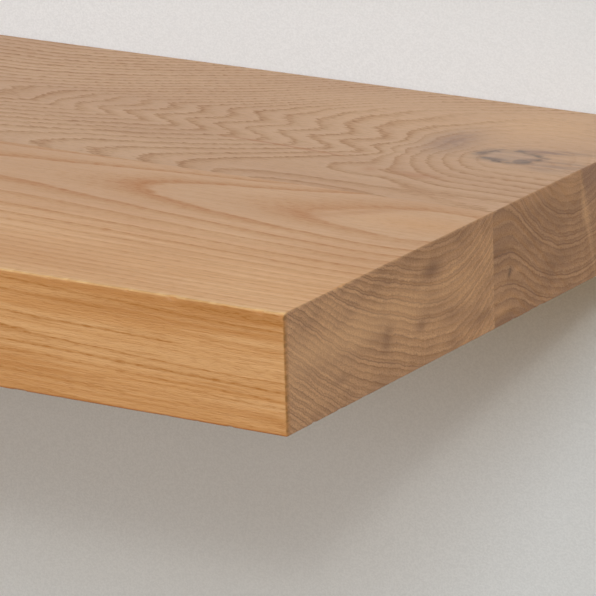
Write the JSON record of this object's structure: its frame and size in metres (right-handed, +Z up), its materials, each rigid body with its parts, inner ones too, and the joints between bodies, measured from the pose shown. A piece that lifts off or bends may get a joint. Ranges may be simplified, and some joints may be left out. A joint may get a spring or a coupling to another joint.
{
  "type": "floating wall shelf",
  "caption": "Thick solid oak floating shelf, edge-glued from two wide staves, that slides onto the rods of a hidden steel wall bracket and is clamped from below by set screws.",
  "frame": {"origin": "on the wall plane, at the middle of the wall plate's back face", "axes": "+X along the shelf, to the right as seen from the room; +Y into the wall; +Z up"},
  "size_m": [0.8, 0.299, 0.04],
  "materials": {
    "oak": "sanded oak with a thin matt oil",
    "bracket_steel": "bright zinc plate over drawn steel",
    "screw_steel": "yellow passivated zinc",
    "plug_nylon": "plain grey moulded nylon",
    "insert_brass": "turned",
    "lock_steel": "black oxide"
  },
  "bodies": {
    "bracket": {"wall_plate": "bracket_steel", "support_rod_1": "bracket_steel", "support_rod_2": "bracket_steel", "support_rod_3": "bracket_steel", "support_rod_4": "bracket_steel", "wall_screws": "screw_steel", "wall_plugs": "plug_nylon"},
    "shelf": {"front_stave": "oak", "back_stave": "oak", "lock_insert_left": "insert_brass", "lock_insert_right": "insert_brass"},
    "lock_left": {"lock_screw_left": "lock_steel"},
    "lock_right": {"lock_screw_right": "lock_steel"}
  },
  "joints": [
    {"name": "shelf_slide", "type": "slide", "parent": "bracket", "child": "shelf", "axis": [0, -1, 0], "range_m": [0, 0.2]},
    {"name": "lock_left_travel", "type": "slide", "parent": "shelf", "child": "lock_left", "axis": [0, 0, -1], "range_m": [0, 0.002]},
    {"name": "lock_right_travel", "type": "slide", "parent": "shelf", "child": "lock_right", "axis": [0, 0, -1], "range_m": [0, 0.002]}
  ]
}
